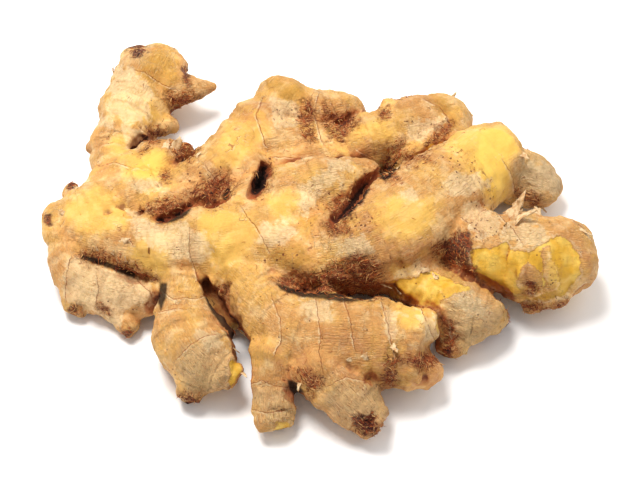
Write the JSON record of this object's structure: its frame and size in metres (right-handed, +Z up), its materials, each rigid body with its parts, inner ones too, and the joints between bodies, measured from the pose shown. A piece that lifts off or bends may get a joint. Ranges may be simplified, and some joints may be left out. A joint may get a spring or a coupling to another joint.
{
  "type": "ginger root",
  "caption": "Fresh ginger rhizome lying flat: a branching body with blunt fingers, stubs and buds, leaf-scar rings and thin tan skin worn through to yellow flesh.",
  "frame": {"origin": "centre of the root's box, on the surface that it lies on", "axes": "+X along the hand's length, towards the thick smooth finger; +Y towards the tall finger with the horn; +Z up"},
  "size_m": [0.1864, 0.1574, 0.0385],
  "materials": {
    "ginger_skin": "thin dry papery skin, tan with fine rings, rubbed smooth and yellow on the high spots"
  },
  "bodies": {
    "root": {"ginger_root": "ginger_skin"}
  },
  "joints": []
}
